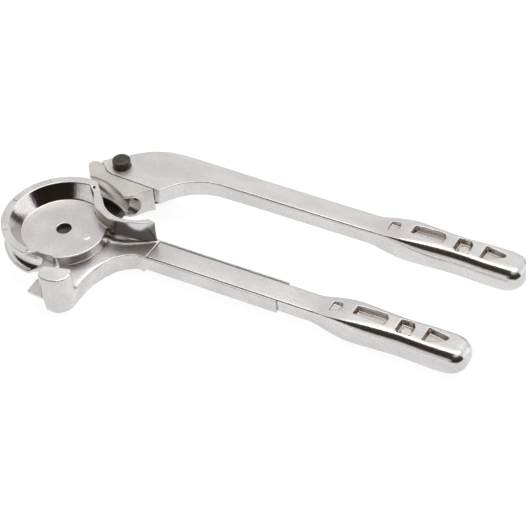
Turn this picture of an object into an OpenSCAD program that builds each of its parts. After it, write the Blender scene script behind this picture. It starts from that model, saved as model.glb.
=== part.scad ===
// Lever tube bender: a forming wheel on a fixed handle, and a forming shoe on a swing handle.
// Frame: origin on the wheel's pivot axis at the resting plane, +X along the fixed handle
// towards its grip, +Z up. Millimetres. The swing handle is drawn closed, beside the fixed one.

/* [Tube and wheel] */
// Diameter of the tube that the tool bends
tube_d = 14; // [12:0.5:15]
// Radius of the bend at the tube's centre line, which is also the wheel's rim
bend_r = 42; // [41:0.5:43]
// Thickness of the wheel
wheel_t = 19; // [18:0.5:20]
// Radius of the wheel's hub
hub_r = 29.8; // [29:0.1:30.5]
// Thickness of the hub, at the floor of the dish
hub_t = 8.5; // [8:0.5:9]
// Radius of the dish at the rim's top
dish_r = 36.2; // [35:0.1:37]

/* [Handles] */
// Distance from the pivot to the end of the fixed handle
fixed_reach = 299; // [280:1:310]
// How much further the swing handle reaches than the fixed one
swing_extra = 9; // [0:1:12]
// Distance from the wheel's centre to the fixed handle's centre line
fixed_y = 14; // [13:0.5:15]
// Distance from the wheel's centre to the swing handle's centre line
swing_y = 82; // [80:0.5:84]
// Width of each handle's bar
bar_w = 17.5; // [16:0.5:19]
// Width of each grip
grip_w = 24; // [22:0.5:26]
// Thickness of each grip
grip_t = 17.5; // [16.5:0.5:18]
// Length of each grip, with its neck
grip_l = 114; // [108:1:120]
// Depth of the pockets in the grips
pocket_depth = 5; // [2:0.5:7]

/* [Shoe and pins] */
// Distance from the pivot to the shoe pin along X
pin_x = 9.4; // [8:0.2:10]
// Distance from the pivot to the shoe pin along Y
pin_y = 63; // [62:0.2:64]
// Radius of the shoe pin
pin_r = 5; // [4:0.25:5.25]
// Radius of the pivot pin
pivot_r = 6; // [5.5:0.25:6.5]
// Running clearance on a radius
run_fit = 0.05; // [0.02:0.01:0.08]

/* [Hidden] */
$fn = 72;

// Levels above the resting plane
wheel_z = 13;
head_z = 14;
groove_z = wheel_z + wheel_t / 2;
top_z = wheel_z + wheel_t;
link_z = 3;
link_t = 6.5;
web_z = 9.8;
seat_z = 10;
seat_t = 2.7;
swing_z = 20;
lug_z = 10.2;
lug_top = 19.4;
swing_lift = 18;

tube_r = tube_d / 2;
groove_r = tube_r + 0.1;
pin_at = [pin_x, pin_y];

// The rim runs from where it is buried in the tail round to its cut end
rim_start = 70;
rim_end = 290;

// The tail's far side is a round scoop that clears the end of the shoe, and a flat that leads to it
scoop_c = [37.5, 42];
scoop_r = 26;
flat_angle = 43;
flat_dist = 30.3;
// The tail's near wall is an arc of a large circle
sweep_c = [26.8, 73.5];
sweep_r = 62;
// The other end of the rim is cut off by a flat too, where the straight leg of the tube leaves
leg_flat_angle = -52.4;
leg_flat_dist = 30.6;
// How far the tail's top lies below the rim's
tail_step = 0.25;

// The shoe touches the tube along a line at this angle round the wheel
shoe_angle = 70;
shoe_gap = 0.5;
// The shoe's lips follow the wheel's rim at this radius
lip_r = 44.6;
shoe_n = [cos(shoe_angle), sin(shoe_angle)];

// The tube's straight leg leaves the wheel at this angle, along the post
leg_angle = -75.5;
leg_n = [cos(leg_angle), sin(leg_angle)];
leg_d = [-sin(leg_angle), cos(leg_angle)];

// Radii of the link's two ends and of the lug on the shoe
link_r = 12;
lug_r = 11.5;
bush_wall = 2;
// Height of the shoe pin's head above the swing handle
pin_head = 5.9;
pin_bush_wall = 1.2;

// Fasteners: radius of a thread and of a head, in the wheel and in the post
wheel_thread = 2.5;
wheel_head = 4.15;
post_thread = 2;
post_head = 3.4;
wheel_size = [wheel_thread, wheel_head];
post_size = [post_thread, post_head];
head_gap = 0.1;
// Fasteners, as places in plan
wheel_screw_at = [[21, -3], [16, -21]];
wheel_dowel_at = [[26, 5], [16.5, -12]];
post_screw_at = [[21, -49.8], [29.5, -48]];
socket_screw_at = [[82, fixed_y], [142, fixed_y]];
spacer_at = [27, 76];
spacer_r = 9.8;
link_screw_at = [for (a = [30:120:270]) spacer_at + 5.6 * [cos(a), sin(a)]];

// The socket of the head, round the fixed handle's bar
socket_x = [58, 163];
socket_wall = 1.6;
socket_floor = 2;
fixed_bar_z = 3.5;
swing_bar_z = 20;

function arc(c, r, a0, a1, n = 14) =
    [for (i = [0:n]) c + r * [cos(a0 + (a1 - a0) * i / n), sin(a0 + (a1 - a0) * i / n)]];
function blend(t) = t <= 0 ? 0 : t >= 1 ? 1 : t * t * (3 - 2 * t);

// Grip: how far it has grown at s from its neck, and how its end rounds off
neck_l = 34;
end_l = 13;
waist = 0.8;
function end_round(s) = s < grip_l - end_l ? 1 : sqrt(max(0, 1 - pow((s - grip_l + end_l) / end_l, 2)));
function grip_half(s) = (bar_w / 2 + (grip_w - bar_w) / 2 * blend(s / neck_l)
    - waist * pow(sin(180 * blend((s - neck_l) / 66)), 2)) * (0.45 + 0.55 * end_round(s));
function grip_low(s, bar_low) = bar_low * (1 - blend(s / neck_l)) + 2.5 * (1 - end_round(s));
function grip_high(s) = head_z + (grip_t - head_z) * blend(s / neck_l) - 2.5 * (1 - end_round(s));
stations = [for (i = [0:24]) grip_l * i / 24];

// One handle in its own frame: centre line on X, the grip's underside on z = 0
module handle_solid(start, reach, bar_low) {
    neck = reach - grip_l;
    intersection() {
        linear_extrude(grip_t)
            polygon(concat(
                [[start, -bar_w / 2]],
                [for (s = stations) [neck + s, -grip_half(s)]],
                [for (i = [24:-1:0]) [neck + stations[i], grip_half(stations[i])]],
                [[start, bar_w / 2]]));
        translate([0, grip_w, 0])
            rotate([90, 0, 0])
                linear_extrude(2 * grip_w)
                    polygon(concat(
                        [[start, bar_low]],
                        [for (s = stations) [neck + s, grip_low(s, bar_low)]],
                        [for (i = [24:-1:0]) [neck + stations[i], grip_high(stations[i])]],
                        [[start, head_z]]));
    }
}

// The four pockets in a grip, measured from the handle's end and its centre line
pocket_outlines = [
    [[-101, -4.5], [-92, -2], [-91, 2], [-92.5, 6.2], [-101.5, 6]],
    [[-84, -1.2], [-59, -2.5], [-58.5, 4], [-61, 7.4], [-84, 6.2]],
    [[-52, -3], [-49.5, -5.5], [-39.5, -5], [-39.5, 4.5], [-42, 8], [-52, 7.5]],
    [[-32.5, -4.5], [-27.5, -4.8], [-15.5, 2.4], [-15.5, 5], [-32.5, 7.8]]];

module grip_pockets(reach) {
    translate([0, 0, grip_t - pocket_depth])
        linear_extrude(pocket_depth + 1) {
            for (outline = pocket_outlines)
                polygon([for (p = outline) p + [reach, 0]]);
        }
}

// Boss that stands in the third pocket
module pocket_boss(reach) {
    translate([reach - 44.5, -0.6, grip_t - pocket_depth - 1])
        cylinder(r = 4.2, h = pocket_depth - 0.5);
}

module at(p, z) {
    translate([p[0], p[1], z])
        children();
}

// Outline of the tail beside the hub: its near wall is one long sweep, and its far side is left
// to the scoop and the flat
module tail_outline() {
    polygon(concat(
        [[-3, 38.5], [3, 40], [14, 33], [24, 24], [38, 20], [54, 23], [60.9, 22.2]],
        arc(sweep_c, sweep_r, -57, -87, 30),
        [[24.3, 13.8], [17.1, 16.9], [11.8, 21.7], [6.4, 30.4]]));
}

module forming_wheel() {
    color("#c9c6bd")
        difference() {
            union() {
                translate([0, 0, wheel_z])
                    cylinder(r = hub_r, h = hub_t);
                rotate([0, 0, rim_start])
                    rotate_extrude(angle = rim_end - rim_start, $fn = 144)
                        polygon([[hub_r - 1, wheel_z], [bend_r, wheel_z], [bend_r, top_z],
                            [dish_r, top_z], [hub_r - 1, wheel_z + hub_t - 1]]);
                translate([0, 0, head_z])
                    linear_extrude(top_z - head_z - tail_step)
                        tail_outline();
            }
            rotate([0, 0, rim_start - 10])
                rotate_extrude(angle = rim_end - rim_start + 20, $fn = 144)
                    translate([bend_r, groove_z])
                        circle(r = groove_r);
            at(scoop_c, wheel_z - 1)
                cylinder(r = scoop_r, h = wheel_t + 2, $fn = 144);
            rotate([0, 0, flat_angle])
                translate([flat_dist, 0.6, wheel_z - 1])
                    cube([20, 40, wheel_t + 2]);
            rotate([0, 0, leg_flat_angle])
                translate([leg_flat_dist, -40, wheel_z - 1])
                    cube([20, 80, wheel_t + 2]);
            translate([0, 0, wheel_z - 1])
                cylinder(r = pivot_r, h = 7);
            translate([0, 0, wheel_z])
                cylinder(r = pivot_r - 0.8, h = hub_t + 1);
            for (p = wheel_dowel_at)
                at(p, wheel_z - 1)
                    cylinder(r = 2, h = 6.5);
            for (p = wheel_screw_at)
                at(p, wheel_z - 1)
                    cylinder(r = wheel_thread, h = 6.5);
        }
}

// Lower part of the head, clear of the link as it swings round
module head_lower_outline() {
    polygon(concat(
        arc(scoop_c, scoop_r, 232, 300),
        [[60, 24.4], [60, 3.6], [54, 4.2], [47.5, 0.3], [42, -5.5], [38.3, -13], [36, -21],
            [35, -30], [35, -44], [35.2, -48], [33.5, -52], [30, -55], [25, -56.4],
            [18.5, -55.5], [13, -50.5], [12.6, -45], [13, -20]],
        arc([0, 0], 13.6, -12, 8, 4),
        [[17.5, 12]]));
}

// The web that carries the wheel over the link
module head_web_outline() {
    circle(r = 26);
    head_lower_outline();
}

module fixed_head() {
    color("#bdbab2")
        difference() {
            union() {
                linear_extrude(head_z)
                    head_lower_outline();
                translate([0, 0, web_z])
                    linear_extrude(head_z - web_z)
                        head_web_outline();
                translate([socket_x[0], fixed_y - bar_w / 2 - socket_wall, fixed_bar_z])
                    cube([socket_x[1] - socket_x[0], bar_w + 2 * socket_wall, head_z - fixed_bar_z]);
            }
            translate([0, 0, wheel_z])
                cylinder(r = hub_r, h = 2);
            translate([-40, -40, wheel_z])
                cube([40, 80, 2]);
            translate([62, fixed_y - bar_w / 2, fixed_bar_z + socket_floor])
                cube([socket_x[1], bar_w, head_z]);
            translate([0, 0, web_z - 1])
                cylinder(r = pivot_r, h = head_z);
            seat_solid(head_z);
            for (p = wheel_dowel_at)
                at(p, 4)
                    cylinder(r = 2, h = head_z);
            for (p = wheel_screw_at)
                at(p, -1) {
                    cylinder(r = wheel_thread, h = head_z + 2);
                    cylinder(r = wheel_head + head_gap, h = 7);
                }
            for (p = post_screw_at)
                at(p, -1) {
                    cylinder(r = post_thread, h = head_z + 2);
                    cylinder(r = post_head + head_gap, h = 5.5);
                }
            for (p = socket_screw_at)
                at(p, fixed_bar_z - 1)
                    cylinder(r = wheel_thread, h = head_z);
        }
}

// Foot of the post, with its inner side along the tube's straight leg
module post_outline() {
    polygon([[14, -50.2], 48.4 * leg_n + 3.5 * leg_d, 48.4 * leg_n + 22.5 * leg_d, [35.8, -44], [36.8, -47],
        [36, -51.5], [32, -56.2], [25, -58], [20, -57.8], [16.5, -55.5]]);
}

module ledge_outline() {
    polygon([[4.8, -55.3], [18, -56.2], [24, -52], [24, -47.6], [17, -45], [4.5, -42.5]]);
}

module seat_solid(h) {
    translate([0, 0, seat_z])
        linear_extrude(h)
            post_outline();
    translate([0, 0, seat_z])
        linear_extrude(h)
            ledge_outline();
}

module seat_plate() {
    color("#a9a69f")
        difference() {
            seat_solid(seat_t);
            for (p = post_screw_at)
                at(p, 9)
                    cylinder(r = post_thread, h = 5);
        }
}

module tube_post() {
    color("#b7b4ac")
        difference() {
            translate([0, 0, seat_z + seat_t])
                linear_extrude(top_z - seat_z - seat_t)
                    post_outline();
            translate([bend_r * leg_n[0], bend_r * leg_n[1], groove_z])
                rotate([0, 90, 90 + leg_angle])
                    translate([0, 0, -20])
                        cylinder(r = groove_r, h = 60);
            for (p = post_screw_at)
                at(p, 9)
                    cylinder(r = post_thread, h = 15);
        }
}

module fixed_handle() {
    color("#c4c1b9")
        difference() {
            union() {
                translate([0, fixed_y, 0])
                    difference() {
                        union() {
                            difference() {
                                handle_solid(62, fixed_reach, fixed_bar_z);
                                grip_pockets(fixed_reach);
                            }
                            pocket_boss(fixed_reach);
                        }
                        translate([0, -bar_w, 0])
                            cube([socket_x[1] + 0.2, 2 * bar_w, fixed_bar_z + socket_floor]);
                    }
            }
            for (p = socket_screw_at)
                at(p, 0)
                    cylinder(r = wheel_thread, h = 11.5);
        }
}

module pivot_pin() {
    color("#2c2b2b")
        difference() {
            cylinder(r = pivot_r, h = 19);
            translate([0, 0, 0.9])
                difference() {
                    cylinder(r = pivot_r + 1, h = 0.9);
                    cylinder(r = pivot_r - 0.7, h = 0.9);
                }
        }
}

module pivot_washer() {
    color("#3a3938")
        translate([0, 0, 1.9])
            difference() {
                cylinder(r = 11, h = 0.9);
                translate([0, 0, -1])
                    cylinder(r = pivot_r, h = 3);
            }
}

module pivot_circlip() {
    color("#4a4846")
        translate([0, 0, 0.95])
            difference() {
                cylinder(r = pivot_r + 2.6, h = 0.8);
                translate([0, 0, -1])
                    cylinder(r = pivot_r - 0.65, h = 3);
                translate([3, -1.5, -1])
                    cube([10, 3, 3]);
            }
}

module wheel_dowel(i) {
    color("#8c8a86")
        at(wheel_dowel_at[i], 4.2)
            cylinder(r = 2, h = 14);
}

// Socket-head screw with its head down, a hexagon in its head
module cap_screw(p, z, size, head_h, length) {
    color("#3b3a3a")
        difference() {
            union() {
                at(p, z)
                    cylinder(r = size[0], h = length);
                at(p, z)
                    cylinder(r = size[1], h = head_h);
            }
            at(p, z - 1)
                cylinder(r = size[0] - 0.2, h = 3.2, $fn = 6);
        }
}

module swing_handle() {
    reach = fixed_reach;
    color("#c4c1b9")
        difference() {
            union() {
                translate([0, 0, swing_z])
                    linear_extrude(top_z - swing_z)
                        polygon(concat(
                            [[-2.9, 58.9], [2.5, 54.1], [7.5, 52.4], [43.4, 50.9]],
                            arc([83.5, 33.3], 40, 155, 90),
                            [[96, swing_y - bar_w / 2], [96, swing_y + bar_w / 2]],
                            arc([45, 40.8], 49.95, 90, 142),
                            [[1.2, 70], [-3.6, 64.8], [-6.3, 61.8], [-6.2, 60.4]]));
                translate([swing_extra, swing_y, swing_lift])
                    union() {
                        difference() {
                            handle_solid(80, reach, swing_bar_z - swing_lift);
                            grip_pockets(reach);
                        }
                        pocket_boss(reach);
                    }
            }
            at(pin_at, swing_z - 1)
                cylinder(r = pin_r + pin_bush_wall, h = 30);
            for (p = link_screw_at)
                at(p, swing_z - 1)
                    cylinder(r = 2.5, h = 9.5);
        }
}

// Bar with round ends between two places in plan
module slot_outline(a, b, r) {
    d = b - a;
    translate(a)
        rotate(atan2(d[1], d[0])) {
            circle(r = r);
            translate([0, -r])
                square([norm(d), 2 * r]);
            translate([norm(d), 0])
                circle(r = r);
        }
}

module link_plate() {
    color("#1f1e1e")
        difference() {
            translate([0, 0, link_z])
                linear_extrude(link_t) {
                    slot_outline([0, 0], pin_at, link_r);
                    slot_outline(pin_at, spacer_at, link_r);
                }
            translate([0, 0, link_z - 1])
                cylinder(r = pivot_r + bush_wall, h = link_t + 2);
            at(pin_at, link_z - 1)
                cylinder(r = pin_r + run_fit, h = link_t + 2);
            for (p = link_screw_at)
                at(p, link_z - 1)
                    cylinder(r = 2.5, h = link_t + 2);
        }
}

module spacer_block() {
    color("#56534f")
        difference() {
            translate([0, 0, link_z + link_t])
                translate(spacer_at)
                    cylinder(r = spacer_r, h = swing_z - link_z - link_t);
            for (p = link_screw_at)
                at(p, 8)
                    cylinder(r = 2.5, h = 14);
        }
}

// Cheese-head screw that stands below the link, so that the tool rests level on its head
module link_screw(i) {
    color("#2a2929")
        difference() {
            union() {
                at(link_screw_at[i], 0)
                    cylinder(r = 4.4, h = link_z);
                at(link_screw_at[i], 0)
                    cylinder(r = 2.5, h = 28);
            }
            at(link_screw_at[i], -1)
                cylinder(r = 2.3, h = 3, $fn = 6);
        }
}

module pivot_bush() {
    color("#b08d57")
        translate([0, 0, link_z])
            difference() {
                cylinder(r = pivot_r + bush_wall, h = link_t);
                translate([0, 0, -1])
                    cylinder(r = pivot_r + run_fit, h = link_t + 2);
            }
}

module pin_bush(z, h) {
    color("#b08d57")
        at(pin_at, z)
            difference() {
                cylinder(r = pin_r + pin_bush_wall, h = h);
                translate([0, 0, -1])
                    cylinder(r = pin_r + run_fit, h = h + 2);
            }
}

module forming_shoe() {
    lip = bend_r + shoe_gap;
    color("#c2bfb6")
        difference() {
            union() {
                translate([0, 0, wheel_z])
                    linear_extrude(top_z - wheel_z)
                        polygon(concat(
                            [[-13, 54.6]],
                            arc([0, 0], lip_r, 97, 53),
                            [[30.3, 36.2], [33.5, 39.2], [37.5, 45.5], [42.7, 50.55], [7.3, 52.05],
                                [2.3, 53.7], [-2.8, 58.3], [-7.3, 60.2], [-11.2, 59.5], [-12.8, 57.2]]));
                translate([0, 0, wheel_z])
                    linear_extrude(lug_top - wheel_z)
                        polygon([[-2.2, 56], [18, 50], [18.5, 56], pin_at + [lug_r * 0.94, lug_r * 0.3],
                            pin_at, pin_at + [-lug_r, 0]]);
                at(pin_at, lug_z)
                    cylinder(r = lug_r, h = lug_top - lug_z);
            }
            translate([lip * shoe_n[0], lip * shoe_n[1], groove_z])
                rotate([0, 90, shoe_angle - 90])
                    translate([0, 0, -50])
                        cylinder(r = groove_r, h = 100);
            at(pin_at, lug_z - 1)
                cylinder(r = pin_r + pin_bush_wall, h = 30);
        }
}

module release_pin() {
    color("#1b1a1a")
        at(pin_at, 0)
            rotate_extrude()
                polygon([[0, 3.6], [pin_r - 1, 3.6], [pin_r, 4.8], [pin_r, top_z + 0.1], [6.4, top_z + 0.1],
                    [6.4, top_z + pin_head - 0.8], [5.6, top_z + pin_head], [0, top_z + pin_head]]);
}

forming_wheel();
fixed_head();
seat_plate();
tube_post();
fixed_handle();
pivot_pin();
pivot_washer();
pivot_circlip();
wheel_dowel(0);  // wheel_dowel_1
wheel_dowel(1);  // wheel_dowel_2
cap_screw(wheel_screw_at[0], 0.6, wheel_size, 5.4, 17.5);  // wheel_screw_1
cap_screw(wheel_screw_at[1], 0.6, wheel_size, 5.4, 17.5);  // wheel_screw_2
cap_screw(post_screw_at[0], 0.6, post_size, 3.9, 22.5);  // post_screw_1
cap_screw(post_screw_at[1], 0.6, post_size, 3.9, 22.5);  // post_screw_2
cap_screw(socket_screw_at[0], 0.8, wheel_size, 2.7, 10.2);  // socket_screw_1
cap_screw(socket_screw_at[1], 0.8, wheel_size, 2.7, 10.2);  // socket_screw_2
swing_handle();
link_plate();
spacer_block();
link_screw(0);  // link_screw_1
link_screw(1);  // link_screw_2
link_screw(2);  // link_screw_3
pivot_bush();
pin_bush(swing_z, top_z - swing_z);  // handle_bush
forming_shoe();
pin_bush(lug_z, lug_top - lug_z);  // shoe_bush
release_pin();
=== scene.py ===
import math

import bmesh
import bpy
import numpy as np
from mathutils import Matrix, Vector


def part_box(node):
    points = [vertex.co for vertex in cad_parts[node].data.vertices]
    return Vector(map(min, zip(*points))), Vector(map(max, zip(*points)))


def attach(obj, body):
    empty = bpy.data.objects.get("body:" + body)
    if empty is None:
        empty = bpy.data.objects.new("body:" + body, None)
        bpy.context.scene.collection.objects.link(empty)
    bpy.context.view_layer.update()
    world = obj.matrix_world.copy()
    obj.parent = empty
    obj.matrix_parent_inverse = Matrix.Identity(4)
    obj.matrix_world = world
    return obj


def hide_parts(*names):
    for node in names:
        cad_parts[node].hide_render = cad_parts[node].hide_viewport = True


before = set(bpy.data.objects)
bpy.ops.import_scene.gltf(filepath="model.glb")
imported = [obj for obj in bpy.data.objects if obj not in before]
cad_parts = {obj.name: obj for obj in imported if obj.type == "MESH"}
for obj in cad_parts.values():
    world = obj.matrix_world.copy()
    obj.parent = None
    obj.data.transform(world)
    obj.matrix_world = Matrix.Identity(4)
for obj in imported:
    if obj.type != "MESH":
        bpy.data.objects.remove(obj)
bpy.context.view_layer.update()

# Sizes are in millimetres below, and become metres as a mesh is made.
MM = 0.001
# Levels of the wheel's top and of the head's top
TOP_Z = 32
HEAD_Z = 14
# The bars, the grips and their pockets
BAR_W = 17.5
GRIP_W = 24
GRIP_T = 17.5
GRIP_L = 114
NECK_L = 34
WAIST = 0.8
POCKET_DEPTH = 3.6
POCKET_DRAFT = 2.1
# Where each handle's end, centre line and underside lie
FIXED_REACH = 299
FIXED_Y = 14
FIXED_BAR_Z = 3.5
SWING_EXTRA = 9
SWING_Y = 82
SWING_LIFT = 18
SWING_BAR_LOW = 2
# The shoe's pin in plan, and the angle round the wheel at which the shoe touches the tube
PIN_AT = (9.4, 63)
SHOE_ANGLE = 70
# The arc of the tail's near wall: centre, radius and the angles that the cove runs between
SWEEP_C = (26.8, 73.5)
SWEEP_R = 62
SWEEP_FROM = -92
SWEEP_TO = -57
COVE_R = 4.6
# Share of a remeshed casting's faces that is kept
KEEP_FACES = 0.3


# ---------------------------------------------------------------- mesh tools

def link(obj):
    bpy.context.scene.collection.objects.link(obj)
    return obj


def make_object(name, points, faces):
    """A mesh object from points in millimetres."""
    mesh = bpy.data.meshes.new(name)
    mesh.from_pydata([tuple(c * MM for c in p) for p in points], [], faces)
    return link(bpy.data.objects.new(name, mesh))


def edit(obj):
    bm = bmesh.new()
    bm.from_mesh(obj.data)
    return bm


def finish_edit(obj, bm):
    bm.to_mesh(obj.data)
    bm.free()
    obj.data.update()


def copy_node(node, name):
    """A welded copy of a CAD node's mesh, so the CAD object itself is never touched."""
    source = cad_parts[node].data
    mesh = bpy.data.meshes.new(name)
    obj = link(bpy.data.objects.new(name, mesh))
    bm = bmesh.new()
    bm.from_mesh(source)
    bmesh.ops.remove_doubles(bm, verts=bm.verts, dist=1e-6)
    bmesh.ops.dissolve_limit(bm, angle_limit=0.002, verts=bm.verts, edges=bm.edges)
    finish_edit(obj, bm)
    return obj


def drop(obj):
    mesh = obj.data
    bpy.data.objects.remove(obj)
    bpy.data.meshes.remove(mesh)


def bake_modifiers(obj):
    graph = bpy.context.evaluated_depsgraph_get()
    mesh = bpy.data.meshes.new_from_object(obj.evaluated_get(graph))
    obj.modifiers.clear()
    old = obj.data
    obj.data = mesh
    bpy.data.meshes.remove(old)


def combine(obj, tool, operation):
    """Boolean of obj with tool; the tool is used up."""
    step = obj.modifiers.new("bool", "BOOLEAN")
    step.operation = operation
    step.solver = "EXACT"
    step.object = tool
    bake_modifiers(obj)
    drop(tool)


def join(obj, *others):
    bm = edit(obj)
    for other in others:
        bm.from_mesh(other.data)
        drop(other)
    finish_edit(obj, bm)


def remesh(obj, voxel):
    step = obj.modifiers.new("remesh", "REMESH")
    step.mode = "VOXEL"
    step.voxel_size = voxel * MM
    bake_modifiers(obj)


def relax(obj, rounds, weight=None):
    """Rounds edges off by smoothing; weight(points in mm) says how much of it each point takes."""
    mesh = obj.data
    count = len(mesh.vertices)
    points = np.empty(count * 3)
    mesh.vertices.foreach_get("co", points)
    points = points.reshape(-1, 3)
    ends = np.empty(len(mesh.edges) * 2, dtype=np.int32)
    mesh.edges.foreach_get("vertices", ends)
    here = np.concatenate((ends[0::2], ends[1::2]))
    there = np.concatenate((ends[1::2], ends[0::2]))
    degree = np.maximum(np.bincount(here, minlength=count), 1)
    share = 0.5 if weight is None else 0.5 * weight(points / MM)
    for _ in range(rounds):
        for axis in range(3):
            mean = np.bincount(here, weights=points[there, axis], minlength=count) / degree
            points[:, axis] += share * (mean - points[:, axis])
    mesh.vertices.foreach_set("co", points.ravel())
    mesh.update()


def thin_out(obj):
    step = obj.modifiers.new("thin", "DECIMATE")
    step.ratio = KEEP_FACES
    step.use_collapse_triangulate = True
    bake_modifiers(obj)


def ramp(values, low, high):
    """0 below low and 1 above high, smooth between."""
    t = np.clip((values - low) / (high - low), 0, 1)
    return t * t * (3 - 2 * t)


def smooth_shade(obj, angle=None):
    mesh = obj.data
    mesh.polygons.foreach_set("use_smooth", [True] * len(mesh.polygons))
    if angle is not None:
        bm = edit(obj)
        for e in bm.edges:
            e.smooth = len(e.link_faces) == 2 and e.calc_face_angle(0) < math.radians(angle)
        finish_edit(obj, bm)


def cast(obj, voxel, rounds=3, more=0, weight=None):
    """Gives a mesh the soft edges of a casting; the weight says where more rounds are taken."""
    remesh(obj, voxel)
    relax(obj, rounds)
    if more:
        relax(obj, more, weight)
    thin_out(obj)
    smooth_shade(obj)


def face_outwards(obj):
    bm = edit(obj)
    bmesh.ops.recalc_face_normals(bm, faces=bm.faces)
    finish_edit(obj, bm)
    return obj


def ring_faces(rings, count):
    """Faces of a closed tube through rings of count points, with both ends capped."""
    faces = []
    for k in range(rings - 1):
        for i in range(count):
            j = (i + 1) % count
            faces.append((k * count + i, k * count + j, (k + 1) * count + j, (k + 1) * count + i))
    faces.append(tuple(reversed(range(count))))
    faces.append(tuple(range((rings - 1) * count, rings * count)))
    return faces


def prism(name, outline, low, high, inset=0.0):
    """A closed prism over an outline; its lower end can be drawn in towards the middle."""
    mid_x = sum(p[0] for p in outline) / len(outline)
    mid_y = sum(p[1] for p in outline) / len(outline)
    lower = []
    for x, y in outline:
        reach = math.hypot(x - mid_x, y - mid_y)
        keep = max(0.1, 1 - inset / reach)
        lower.append((mid_x + (x - mid_x) * keep, mid_y + (y - mid_y) * keep, low))
    upper = [(x, y, high) for x, y in outline]
    return face_outwards(make_object(name, lower + upper, ring_faces(2, len(outline))))


def box_prism(name, x0, x1, y0, y1, low, high):
    return prism(name, [(x0, y0), (x1, y0), (x1, y1), (x0, y1)], low, high)


def lathe(name, profile, cx, cy, steps=64):
    """A solid of revolution about a vertical axis, from (radius, height) pairs."""
    points = []
    for r, z in profile:
        for i in range(steps):
            t = 2 * math.pi * i / steps
            points.append((cx + r * math.cos(t), cy + r * math.sin(t), z))
    return make_object(name, points, ring_faces(len(profile), steps))


# ---------------------------------------------------------------- grips

def ease(t):
    t = min(max(t, 0.0), 1.0)
    return t * t * (3 - 2 * t)


def end_share(s, length):
    """0 along the grip, growing to 1 over the given length at its end."""
    return min(max((s - GRIP_L + length) / length, 0.0), 1.0)


def grip_section(s, bar_low):
    """Half width, low, high and the four corner radii of the grip, at s from its neck."""
    grow = ease(s / NECK_L)
    half = BAR_W / 2 + (GRIP_W - BAR_W) / 2 * grow
    half -= WAIST * math.sin(math.pi * ease((s - NECK_L) / 66)) ** 2
    low = bar_low * (1 - grow)
    high = HEAD_Z + (GRIP_T - HEAD_Z) * grow
    side_t = end_share(s, 14.5)
    flat_t = end_share(s, 12.5)
    half *= (1 - side_t ** 3.1) ** (1 / 3.1)
    mid, tall = (low + high) / 2, (high - low) / 2
    tall *= (1 - flat_t ** 2.9) ** (1 / 2.9)
    soft = ease((s - 6) / 50)
    most = 0.93 * min(half, tall)
    near = min(0.3 + 7.6 * soft + 2.0 * side_t, most)
    far = min(0.3 + 3.6 * soft + 3.0 * side_t, most)
    under = min(0.3 + 2.8 * soft + 4.0 * side_t, most)
    return half, mid - tall, mid + tall, (under, under, far, near)


def section_ring(x, half, low, high, radii, steps=7):
    """Rounded rectangle in the YZ plane: near low, far low, far high, near high."""
    corners = ((-1, low, 1, 180), (1, low, 1, 270), (1, high, -1, 0), (-1, high, -1, 90))
    ring = []
    for (side, level, inward, start), r in zip(corners, radii):
        cy, cz = side * (half - r), level + inward * r
        for i in range(steps + 1):
            t = math.radians(start + 90 * i / steps)
            ring.append((x, cy + r * math.cos(t), cz + r * math.sin(t)))
    return ring


def grip_loft(name, bar_low):
    """The grip on its own, neck at x = 0, from rings of rounded rectangles."""
    last = 0.9985
    places = [-1.0 + i * 2.5 for i in range(39)]
    first_end = places[-1]
    span = GRIP_L - first_end
    places += [first_end + span * math.sin(math.pi / 2 * i / 24) * last for i in range(1, 25)]
    points = []
    for s in places:
        half, low, high, radii = grip_section(s, bar_low)
        points += section_ring(s, half, low, high, radii)
    faces = ring_faces(len(places), len(points) // len(places))
    return face_outwards(make_object(name, points, faces))


def pocket_outlines():
    """The four pockets, measured from the grip's end and its centre line."""
    return (
        [(-101, -4.5), (-92, -2), (-91, 2), (-92.5, 6.2), (-101.5, 6)],
        [(-84, -1.2), (-59, -2.5), (-58.5, 4), (-61, 7.4), (-84, 6.2)],
        [(-52, -3), (-49.5, -5.5), (-39.5, -5), (-39.5, 4.5), (-42, 8), (-52, 7.5)],
        [(-32.5, -4.5), (-27.5, -4.8), (-15.5, 2.4), (-15.5, 5), (-32.5, 7.8)])


def make_grip(name, bar_low):
    grip = grip_loft(name, bar_low)
    for outline in pocket_outlines():
        moved = [(x + GRIP_L, y) for x, y in outline]
        cutter = prism("cutter", moved, GRIP_T - POCKET_DEPTH, GRIP_T + 1.5, POCKET_DRAFT)
        combine(grip, cutter, "DIFFERENCE")
    profile = [(4.4, GRIP_T - POCKET_DEPTH - 1), (3.9, GRIP_T - 2.0), (3.3, GRIP_T - 1.5)]
    join(grip, lathe("boss", profile, GRIP_L - 44.5, -0.6, 40))
    return grip


def bar_weight(p, neck, start):
    """The bar's edges grow rounder towards the grip; the grip is already rounded."""
    return ramp(p[:, 0], start, start + 55) * (1 - ramp(p[:, 0], neck + 4, neck + 14))


def make_handle(name, node, reach, extra, y, lift, bar_low):
    """The CAD handle up to its neck, with the lofted grip in place of the plain one."""
    neck = reach - GRIP_L + extra
    handle = copy_node(node, name)
    combine(handle, box_prism("keep", -50, neck, -60, 140, -5, 60), "INTERSECT")
    grip = make_grip("grip", bar_low)
    grip.data.transform(Matrix.Translation((neck * MM, y * MM, lift * MM)))
    join(handle, grip)
    cast(handle, 0.42, 3, 30, lambda p: bar_weight(p, neck, 40 + 3 * extra))
    return handle


# ---------------------------------------------------------------- castings

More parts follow.
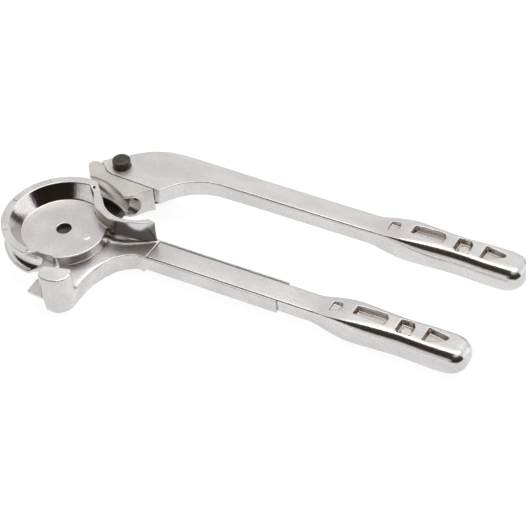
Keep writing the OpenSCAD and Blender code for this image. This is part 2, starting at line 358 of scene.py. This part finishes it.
def tick(angle, inner, outer, wide=0.55, deep=0.45):
    """Cutter for a mark across the rim's top."""
    a = math.radians(angle)
    along, across = (math.cos(a), math.sin(a)), (-math.sin(a), math.cos(a))
    h = wide / 2
    outline = []
    for r, side in ((inner, -h), (outer, -h), (outer, h), (inner, h)):
        outline.append((along[0] * r + across[0] * side, along[1] * r + across[1] * side))
    return prism("tick", outline, TOP_Z - deep, TOP_Z + 1)


def make_wheel():
    wheel = copy_node("forming_wheel", "wheel_casting")
    pit = prism("pit", [(1.9, 36.2), (4.6, 36.9), (4.3, 33.6)], TOP_Z - 3.2, TOP_Z + 1, 0.5)
    combine(wheel, pit, "DIFFERENCE")
    pad = lathe("pad", [(3.7, 20), (3.7, 21.55), (2.5, 21.85)], 18.3, -0.4, 40)
    join(wheel, pad)
    cast(wheel, 0.38)
    for angle in (134.2, 178.8, 223.9, 265.4):
        combine(wheel, tick(angle, 37.4, 41.0), "DIFFERENCE")
    smooth_shade(wheel, 60)
    return wheel


def head_weight(p):
    """Most rounding where the near wall runs into the post, some along the lower edges, in the
    corner under the hub and on the post's top edge, none elsewhere."""
    x, y, z = p[:, 0], p[:, 1], p[:, 2]
    valley = ramp(-y, 10, 26) * ramp(x, 26, 32) * (1 - ramp(z, 15, 22))
    under = (1 - ramp(z, 3, 7)) * (1 - ramp(x, 56, 62))
    corner = ramp(x, 27, 31) * (1 - ramp(x, 38, 46)) * ramp(y, 2, 6) * (1 - ramp(z, 22, 26))
    post_top = 0.12 * ramp(z, 29, 30.5)
    return np.maximum(np.maximum(valley, 0.3 * under), np.maximum(0.3 * corner, post_top))


def cove_profile(radius):
    """Closed section of the cove: distance out from the wall, and height."""
    foot = HEAD_Z + 0.1
    profile = [(-2.0, HEAD_Z - 1), (radius, HEAD_Z - 1)]
    for i in range(9):
        t = math.radians(90 * i / 8)
        profile.append((radius * (1 - math.sin(t)), foot + radius * (1 - math.cos(t))))
    profile.append((-2.0, foot + radius))
    return profile


def make_cove():
    """The hollow fillet on the head along the foot of the tail's near wall; it fades out at the tip."""
    steps = 24
    points = []
    for k in range(steps + 1):
        a = math.radians(SWEEP_FROM + (SWEEP_TO - SWEEP_FROM) * k / steps)
        profile = cove_profile(COVE_R * (0.12 + 0.88 * ease((steps - k) / 15)))
        for out, z in profile:
            reach = SWEEP_R + out
            points.append((SWEEP_C[0] + reach * math.cos(a), SWEEP_C[1] + reach * math.sin(a), z))
    return face_outwards(make_object("cove", points, ring_faces(steps + 1, len(profile))))


def make_head():
    head = copy_node("fixed_head", "head_casting")
    post = copy_node("tube_post", "post")
    bm = edit(post)
    for v in bm.verts:
        if v.co.z < 13 * MM:
            v.co.z = 9.4 * MM
    finish_edit(post, bm)
    join(head, post, make_cove())
    cast(head, 0.42, 3, 110, head_weight)
    return head


def make_ledge():
    """The seat plate's free end, beside the post."""
    ledge = copy_node("seat_plate", "seat_ledge")
    combine(ledge, box_prism("keep", 0, 16.4, -70, -30, 5, 20), "INTERSECT")
    cast(ledge, 0.25, 4)
    return ledge


def shoe_point(out, along):
    """A place in plan, out from the wheel's axis along the shoe's line of contact."""
    a = math.radians(SHOE_ANGLE)
    return (out * math.cos(a) + along * math.sin(a), out * math.sin(a) - along * math.cos(a))


def aim(obj, start, end):
    """Turns a mesh built along +Z so that it runs from start to end."""
    line = Vector(end) - Vector(start)
    turn = Vector((0, 0, 1)).rotation_difference(line.normalized()).to_matrix().to_4x4()
    obj.data.transform(Matrix.Translation(Vector(start) * MM) @ turn)


def make_shoe():
    """The shoe, its groove flared at the end where the tube runs in, with a small drilled hole."""
    shoe = copy_node("forming_shoe", "shoe_casting")
    flare = lathe("flare", [(4.6, 0), (5.8, 6), (7.2, 12), (8.4, 18), (9.2, 24)], 0, 0, 64)
    aim(flare, shoe_point(42.5, 3) + (22.5,), shoe_point(45.6, 27) + (22.5,))
    combine(shoe, flare, "DIFFERENCE")
    hole = lathe("hole", [(1.8, 0), (1.8, 9)], 0, 0, 32)
    aim(hole, shoe_point(47.0, 14.6) + (24.6,), shoe_point(56.0, 14.0) + (25.4,))
    combine(shoe, hole, "DIFFERENCE")
    cast(shoe, 0.32)
    return shoe


# ---------------------------------------------------------------- small parts

def make_turned(node, name, bevel):
    """A CAD part with its sharp edges broken."""
    obj = copy_node(node, name)
    step = obj.modifiers.new("edge", "BEVEL")
    step.width = bevel * MM
    step.segments = 2
    step.limit_method = "ANGLE"
    step.angle_limit = math.radians(40)
    step.use_clamp_overlap = True
    bake_modifiers(obj)
    smooth_shade(obj, 32)
    return obj


def make_release_pin():
    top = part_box("release_pin")[1][2] / MM
    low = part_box("release_pin")[0][2] / MM
    neck = TOP_Z + 0.05
    profile = [(4.4, low), (5.0, low + 0.6), (5.0, neck), (5.9, neck + 0.05), (6.4, neck + 0.55),
               (6.4, top - 1.0), (6.05, top - 0.4), (5.5, top - 0.1), (3.0, top), (0.6, top)]
    pin = lathe("release_pin_body", profile, PIN_AT[0], PIN_AT[1], 72)
    smooth_shade(pin, 28)
    return pin


# ---------------------------------------------------------------- materials

def new_material(name):
    mat = bpy.data.materials.new(name)
    mat.use_nodes = True
    tree = mat.node_tree
    return mat, tree, tree.nodes["Principled BSDF"]


def add(tree, kind, **values):
    node = tree.nodes.new(kind)
    for key, value in values.items():
        if key in node.inputs:
            node.inputs[key].default_value = value
        else:
            setattr(node, key, value)
    return node


def wire(tree, source, target):
    tree.links.new(source, target)


def object_place(tree, scale=(1, 1, 1), shift=(0, 0, 0)):
    coords = add(tree, "ShaderNodeTexCoord")
    mapping = add(tree, "ShaderNodeMapping")
    mapping.inputs["Scale"].default_value = scale
    mapping.inputs["Location"].default_value = shift
    wire(tree, coords.outputs["Object"], mapping.inputs["Vector"])
    return mapping.outputs["Vector"]


def noise(tree, place, scale, detail=3.0, rough=0.55):
    node = add(tree, "ShaderNodeTexNoise")
    node.inputs["Scale"].default_value = scale
    node.inputs["Detail"].default_value = detail
    node.inputs["Roughness"].default_value = rough
    wire(tree, place, node.inputs["Vector"])
    return node.outputs["Fac"]


def spread(tree, value, low, high, to_low=0.0, to_high=1.0):
    node = add(tree, "ShaderNodeMapRange")
    node.interpolation_type = "SMOOTHSTEP"
    node.inputs["From Min"].default_value = low
    node.inputs["From Max"].default_value = high
    node.inputs["To Min"].default_value = to_low
    node.inputs["To Max"].default_value = to_high
    wire(tree, value, node.inputs["Value"])
    return node.outputs["Result"]


def sums(tree, operation, a, b):
    node = add(tree, "ShaderNodeMath", operation=operation)
    for value, socket in ((a, node.inputs[0]), (b, node.inputs[1])):
        if isinstance(value, (int, float)):
            socket.default_value = value
        else:
            wire(tree, value, socket)
    return node.outputs[0]


def blend_colour(tree, factor, a, b):
    node = add(tree, "ShaderNodeMix", data_type="RGBA")
    wire(tree, factor, node.inputs[0])
    for value, socket in ((a, node.inputs[6]), (b, node.inputs[7])):
        if isinstance(value, tuple):
            socket.default_value = value + (1,)
        else:
            wire(tree, value, socket)
    return node.outputs[2]


def bump(tree, heights, shader):
    """Stacks bumps: (height, depth in mm) pairs, the first one lowest."""
    last = None
    for height, depth in heights:
        node = add(tree, "ShaderNodeBump")
        node.inputs["Distance"].default_value = depth * MM
        wire(tree, height, node.inputs["Height"])
        if last is not None:
            wire(tree, last, node.inputs["Normal"])
        last = node.outputs["Normal"]
    wire(tree, last, shader.inputs["Normal"])


def corner_shade_mask(tree, reach):
    """Mask for painted shade, from ambient occlusion: 1 in inner corners and pockets, 0 on open surfaces.
    """
    node = add(tree, "ShaderNodeAmbientOcclusion", only_local=True, samples=6)
    node.inputs["Distance"].default_value = reach * MM
    return spread(tree, node.outputs["AO"], 0.55, 0.97, 1.0, 0.0)


def worn_edges(tree):
    node = add(tree, "ShaderNodeNewGeometry")
    return spread(tree, node.outputs["Pointiness"], 0.52, 0.60)


def level_faces(tree, amount):
    """Extra roughness on the flat upper faces, which are linished and not buffed."""
    face = add(tree, "ShaderNodeNewGeometry")
    split = add(tree, "ShaderNodeSeparateXYZ")
    wire(tree, face.outputs["Normal"], split.inputs[0])
    return spread(tree, split.outputs["Z"], 0.955, 0.995, 0.0, amount)


def plated(name, light, dark, rough, stretch=(1, 1, 1), grain=1.0, satin=0.14, shift=(0, 0, 0),
           shade_in_corners=(2.2, 0.5), body=0.55):
    """Bright plating over a polished casting: soft waves, fine grain, and painted shade, warm brown, in the
    corners.
    shade_in_corners is the reach and the strength of that painted shade; body is how metallic the flat tops
    stay."""
    mat, tree, shader = new_material(name)
    place = object_place(tree, stretch, shift)
    cloud = noise(tree, place, 60, 4)
    waves = noise(tree, place, 420, 2)
    mottle = noise(tree, object_place(tree), 1100, 3, 0.6)
    fine = noise(tree, object_place(tree), 2600, 3, 0.65)
    # painted shade: ambient occlusion picks out the corners and pockets
    corner = corner_shade_mask(tree, shade_in_corners[0])
    tone = blend_colour(tree, spread(tree, cloud, 0.35, 0.65), dark, light)
    tone = blend_colour(tree, spread(tree, mottle, 0.42, 0.72, 0.0, 0.42), tone, (0.41, 0.37, 0.33))
    tone = blend_colour(tree, spread(tree, fine, 0.50, 0.72, 0.0, 0.34), tone, (0.35, 0.33, 0.315))
    # painted shade: warm brown blended into the occluded corners
    tone = blend_colour(tree, sums(tree, "MULTIPLY", corner, shade_in_corners[1]), tone, (0.42, 0.31, 0.185))
    wire(tree, tone, shader.inputs["Base Color"])
    matt = level_faces(tree, 1 - body)
    wire(tree, sums(tree, "SUBTRACT", 1.0, matt), shader.inputs["Metallic"])
    base = spread(tree, fine, 0.3, 0.75, rough * 0.8, rough * 1.4)
    wire(tree, sums(tree, "ADD", base, level_faces(tree, satin)), shader.inputs["Roughness"])
    bump(tree, ((waves, 0.034 * grain), (mottle, 0.014 * grain), (fine, 0.006 * grain)), shader)
    return mat


def black_oxide(name, centre, tone=(0.045, 0.040, 0.034)):
    """Black-oxide steel with turning rings about a vertical axis, brown where handled."""
    mat, tree, shader = new_material(name)
    place = object_place(tree, shift=(-centre[0] * MM, -centre[1] * MM, 0))
    wave = add(tree, "ShaderNodeTexWave", wave_type="RINGS", rings_direction="Z")
    wave.inputs["Scale"].default_value = 620
    wave.inputs["Distortion"].default_value = 0.6
    wire(tree, place, wave.inputs["Vector"])
    blot = noise(tree, place, 260, 4)
    fine = noise(tree, place, 2200, 3)
    colour = blend_colour(tree, spread(tree, blot, 0.4, 0.7), tone, (0.095, 0.080, 0.062))
    colour = blend_colour(tree, sums(tree, "MULTIPLY", worn_edges(tree), 0.35), colour, (0.12, 0.105, 0.09))
    wire(tree, colour, shader.inputs["Base Color"])
    shader.inputs["Metallic"].default_value = 0.6
    wire(tree, spread(tree, fine, 0.3, 0.7, 0.24, 0.40), shader.inputs["Roughness"])
    bump(tree, ((wave.outputs["Fac"], 0.010), (fine, 0.010)), shader)
    return mat


def bare_metal(name, light, dark, rough, ring_scale=500.0):
    """Machined metal: bronze bushes, ground dowels and zinc washers, with painted shade in their corners.
    """
    mat, tree, shader = new_material(name)
    place = object_place(tree)
    blot = noise(tree, place, 320, 4)
    lines = noise(tree, object_place(tree, (1, 1, 9)), ring_scale, 3)
    colour = blend_colour(tree, spread(tree, blot, 0.35, 0.68), light, dark)
    # painted shade: dark brown in the occluded corners
    colour = blend_colour(tree, sums(tree, "MULTIPLY", corner_shade_mask(tree, 1.2), 0.5), colour, (0.10, 0.08, 0.06))
    wire(tree, colour, shader.inputs["Base Color"])
    shader.inputs["Metallic"].default_value = 1.0
    wire(tree, spread(tree, lines, 0.3, 0.7, rough * 0.75, rough * 1.4), shader.inputs["Roughness"])
    bump(tree, ((lines, 0.008), (blot, 0.006)), shader)
    return mat


def paint(obj, mat):
    obj.data.materials.clear()
    obj.data.materials.append(mat)


# ---------------------------------------------------------------- studio

def make_camera():
    azimuth = math.radians(33.2)
    elevation = math.radians(42.7)
    roll = math.radians(-5.9)
    away = 1.5
    target = Vector((0.148, 0.0168, 0.032))
    level = math.cos(elevation)
    back = Vector((math.sin(azimuth) * level, -math.cos(azimuth) * level, math.sin(elevation)))
    right = Vector((math.cos(azimuth), math.sin(azimuth), 0))
    up = back.cross(right)
    right_rolled = right * math.cos(roll) + up * math.sin(roll)
    up_rolled = up * math.cos(roll) - right * math.sin(roll)
    place = target + back * away
    turn = Matrix((right_rolled, up_rolled, back)).transposed().to_4x4()
    data = bpy.data.cameras.new("camera")
    data.sensor_width = 36
    data.lens = 155.7
    data.clip_start = 0.01
    data.clip_end = 20
    cam = link(bpy.data.objects.new("camera", data))
    cam.matrix_world = Matrix.Translation(place) @ turn
    bpy.context.scene.camera = cam


def make_floor():
    half, level = 4000, -0.3
    corners = [(-half, -half, level), (half, -half, level), (half, half, level), (-half, half, level)]
    floor = make_object("floor", corners, [(0, 1, 2, 3)])
    mat, tree, shader = new_material("paper_floor")
    place = object_place(tree)
    fibre = noise(tree, place, 400, 3)
    colour = blend_colour(tree, fibre, (0.19, 0.19, 0.192), (0.21, 0.21, 0.21))
    wire(tree, colour, shader.inputs["Base Color"])
    shader.inputs["Roughness"].default_value = 0.95
    shader.inputs["Emission Color"].default_value = (1.0, 1.0, 1.0, 1)
    shader.inputs["Emission Strength"].default_value = 0.90
    paint(floor, mat)


def band(tree, value, rise_from, rise_to, fall_from, fall_to):
    """1 between two soft edges of a value, and 0 outside them."""
    rising = spread(tree, value, rise_from, rise_to)
    return sums(tree, "MULTIPLY", rising, spread(tree, value, fall_from, fall_to, 1.0, 0.0))


def world_angles(tree):
    """The world's Y, and a direction's angle round +Z from +X and its angle up, in degrees."""
    coords = add(tree, "ShaderNodeTexCoord")
    split = add(tree, "ShaderNodeSeparateXYZ")
    wire(tree, coords.outputs["Generated"], split.inputs[0])
    turn = sums(tree, "ARCTAN2", split.outputs["Y"], split.outputs["X"])
    rise = sums(tree, "ARCSINE", split.outputs["Z"], 0)
    to_degrees = 180 / math.pi
    turn = sums(tree, "MULTIPLY", turn, to_degrees)
    rise = sums(tree, "MULTIPLY", rise, to_degrees)
    return split.outputs["Y"], turn, rise


def bright_walls(tree, turn, rise):
    """White all round, with a brighter panel to the right and a brown strip beyond it."""
    panel = band(tree, turn, 8, 14, 46, 56)
    panel = sums(tree, "MULTIPLY", panel, spread(tree, rise, 24, 46, 1.0, 0.0))
    side = band(tree, turn, 54, 62, 66, 80)
    side = sums(tree, "MULTIPLY", side, spread(tree, rise, 8, 24, 0.6, 0.0))
    lift = spread(tree, rise, 20, 60, 0.94, 1.04)
    lift = sums(tree, "ADD", lift, sums(tree, "MULTIPLY", panel, 0.40))
    white = add(tree, "ShaderNodeVectorMath", operation="SCALE")
    white.inputs[0].default_value = (1.0, 0.991, 0.987)
    wire(tree, lift, white.inputs["Scale"])
    return blend_colour(tree, side, white.outputs[0], (0.30, 0.24, 0.19))


def make_world():
    """A white studio with a dark area towards the front and the left, below 66 degrees."""
    world = bpy.data.worlds.new("studio")
    world.use_nodes = True
    bpy.context.scene.world = world
    tree = world.node_tree
    backdrop = tree.nodes["Background"]
    world_y, turn, rise = world_angles(tree)
    near = band(tree, turn, -101, -86, 4, 11)
    near = sums(tree, "MULTIPLY", near, spread(tree, rise, 54, 66, 1.0, 0.0))
    wing = sums(tree, "MULTIPLY", spread(tree, world_y, -0.12, 0.05, 1.0, 0.0), spread(tree, rise, 17, 28))
    wing = sums(tree, "MULTIPLY", wing, spread(tree, turn, -70, -90))
    front = sums(tree, "MAXIMUM", near, wing)
    brown = blend_colour(tree, spread(tree, rise, 22, 52), (0.016, 0.013, 0.009), (0.13, 0.090, 0.056))
    brown = blend_colour(tree, wing, brown, (0.040, 0.029, 0.019))
    room = blend_colour(tree, front, bright_walls(tree, turn, rise), brown)
    seen = add(tree, "ShaderNodeLightPath")
    room = blend_colour(tree, seen.outputs["Is Camera Ray"], room, (1.0, 1.0, 1.0))
    wire(tree, room, backdrop.inputs["Color"])
    backdrop.inputs["Strength"].default_value = 1.0


def make_lights():
    data = bpy.data.lights.new("overhead", "AREA")
    data.shape = "RECTANGLE"
    data.size = 1.6
    data.size_y = 1.2
    data.energy = 8
    data.color = (1.0, 0.98, 0.95)
    lamp = link(bpy.data.objects.new("overhead", data))
    lamp.matrix_world = Matrix.Translation((0.1, 0.5, 1.7)) @ Matrix.Rotation(math.radians(-18), 4, "X")


# ---------------------------------------------------------------- the model

def place_piece(obj, mat, body, slot, *nodes):
    paint(obj, mat)
    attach(obj, body)
    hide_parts(*nodes)


def build_castings():
    silver = (0.725, 0.717, 0.719)
    shade = (0.625, 0.617, 0.619)
    along = (0.35, 1, 1)
    # the second pair in each call sets the reach and strength of the casting's painted corner shade; the
    # shoe's reaches furthest
    wheel_mat = plated("plated_wheel", silver, shade, 0.13, shade_in_corners=(3.5, 0.6))
    head_mat = plated("plated_head", silver, shade, 0.26, grain=1.4, satin=0.06, shift=(0.3, 0.1, 0),
                      body=0.92)
    bar_mat = plated("plated_bars", silver, shade, 0.19, along, 1.8, shade_in_corners=(3.2, 0.8))
    swing_mat = plated("plated_swing", (0.715, 0.705, 0.703), shade, 0.19, along, 1.8, satin=0.16,
                       shift=(0.1, 0.4, 0), shade_in_corners=(3.2, 0.8))
    shoe_mat = plated("plated_shoe", (0.65, 0.638, 0.62), (0.57, 0.555, 0.535), 0.26, grain=1.4,
                      shade_in_corners=(7.0, 0.85))
    ledge_mat = plated("plated_ledge", silver, shade, 0.24)
    place_piece(make_wheel(), wheel_mat, "frame", "wheel_cast", "forming_wheel")
    place_piece(make_head(), head_mat, "frame", "head_cast", "fixed_head", "tube_post")
    place_piece(make_ledge(), ledge_mat, "frame", "plate_steel", "seat_plate")
    fixed = make_handle("fixed_handle_casting", "fixed_handle", FIXED_REACH, 0, FIXED_Y, 0, FIXED_BAR_Z)
    place_piece(fixed, bar_mat, "frame", "handle_cast", "fixed_handle")
    swing = make_handle("swing_handle_casting", "swing_handle", FIXED_REACH, SWING_EXTRA, SWING_Y,
                        SWING_LIFT, SWING_BAR_LOW)
    place_piece(swing, swing_mat, "swing", "handle_cast", "swing_handle")
    place_piece(make_shoe(), shoe_mat, "shoe", "shoe_cast", "forming_shoe")


def build_small_parts():
    oxide = black_oxide("oxide_link", (0, 0))
    pin_mat = black_oxide("oxide_pin", PIN_AT)
    screw_mat = black_oxide("oxide_screws", (26, -10), (0.045, 0.042, 0.040))
    bronze = bare_metal("bush_bronze", (0.46, 0.27, 0.11), (0.33, 0.18, 0.07), 0.3)
    ground = bare_metal("ground_steel", (0.50, 0.49, 0.47), (0.38, 0.37, 0.35), 0.24)
    washer = bare_metal("washer_zinc", (0.36, 0.35, 0.34), (0.25, 0.24, 0.23), 0.32)
    spacer = bare_metal("spacer_steel", (0.30, 0.28, 0.26), (0.20, 0.185, 0.17), 0.34)
    parts = (
        ("pivot_pin", 0.35, oxide, "frame", "black_steel"),
        ("pivot_washer", 0.15, washer, "frame", "washer_steel"),
        ("pivot_circlip", 0.1, oxide, "frame", "washer_steel"),
        ("wheel_dowel_1", 0.3, ground, "frame", "washer_steel"),
        ("wheel_dowel_2", 0.3, ground, "frame", "washer_steel"),
        ("wheel_screw_1", 0.25, screw_mat, "frame", "screw_steel"),
        ("wheel_screw_2", 0.25, screw_mat, "frame", "screw_steel"),
        ("post_screw_1", 0.25, screw_mat, "frame", "screw_steel"),
        ("post_screw_2", 0.25, screw_mat, "frame", "screw_steel"),
        ("socket_screw_1", 0.2, screw_mat, "frame", "screw_steel"),
        ("socket_screw_2", 0.2, screw_mat, "frame", "screw_steel"),
        ("link_plate", 0.4, oxide, "swing", "black_steel"),
        ("spacer_block", 0.4, spacer, "swing", "plate_steel"),
        ("link_screw_1", 0.25, screw_mat, "swing", "screw_steel"),
        ("link_screw_2", 0.25, screw_mat, "swing", "screw_steel"),
        ("link_screw_3", 0.25, screw_mat, "swing", "screw_steel"),
        ("pivot_bush", 0.15, bronze, "swing", "bronze"),
        ("handle_bush", 0.15, bronze, "swing", "bronze"),
        ("shoe_bush", 0.15, bronze, "shoe", "bronze"))
    for node, width, mat, body, slot in parts:
        place_piece(make_turned(node, node + "_piece", width), mat, body, slot, node)
    place_piece(make_release_pin(), pin_mat, "pin", "black_steel", "release_pin")


bpy.context.scene.view_settings.view_transform = "Standard"
make_camera()
make_world()
make_floor()
make_lights()
build_castings()
build_small_parts()
